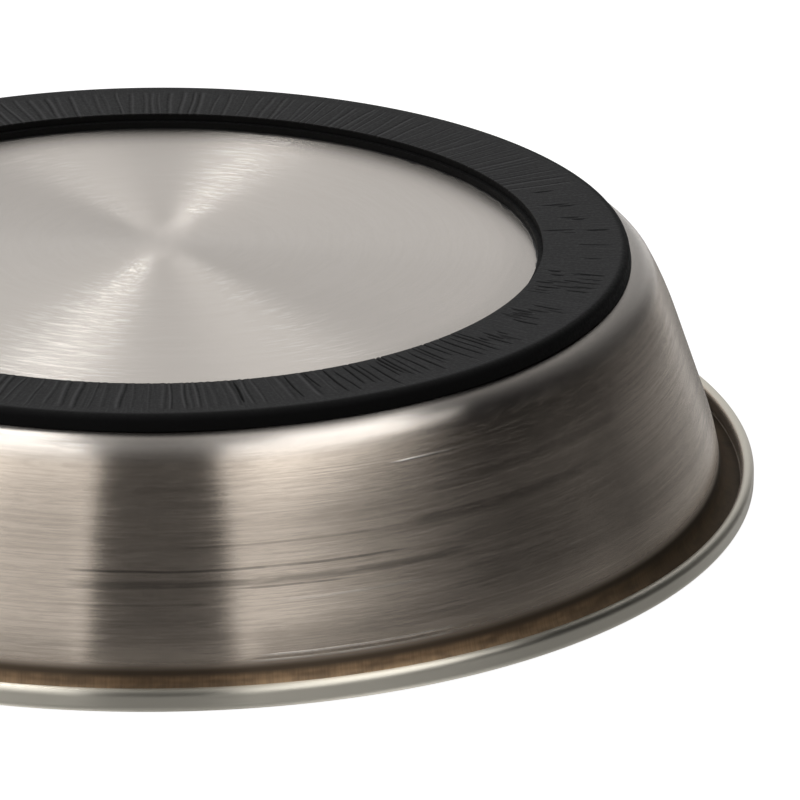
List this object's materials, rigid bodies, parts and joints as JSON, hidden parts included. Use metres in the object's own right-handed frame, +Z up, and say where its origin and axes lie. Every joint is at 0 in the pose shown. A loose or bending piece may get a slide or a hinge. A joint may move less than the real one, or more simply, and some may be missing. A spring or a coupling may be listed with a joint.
{
  "type": "cat food saucer",
  "caption": "Shallow round stainless steel pet food saucer with a flaring wall, a rolled rim and a non-slip black rubber ring bonded under its base.",
  "frame": {"origin": "centre of the rubber ring's ground face", "axes": "+Z up along the dish's axis, out of its opening; +X and +Y are equal, because the saucer is round"},
  "size_m": [0.1404, 0.1404, 0.0293],
  "materials": {
    "brushed_sheet": "circumferentially brushed stainless steel, slightly warm",
    "ring_rubber": "matte moulded rubber with fine radial creases on its ground face",
    "ring_glue": "cured black contact glue"
  },
  "bodies": {
    "root": {"dish": "brushed_sheet", "base_ring": "ring_rubber", "bond_film": "ring_glue"}
  },
  "joints": []
}
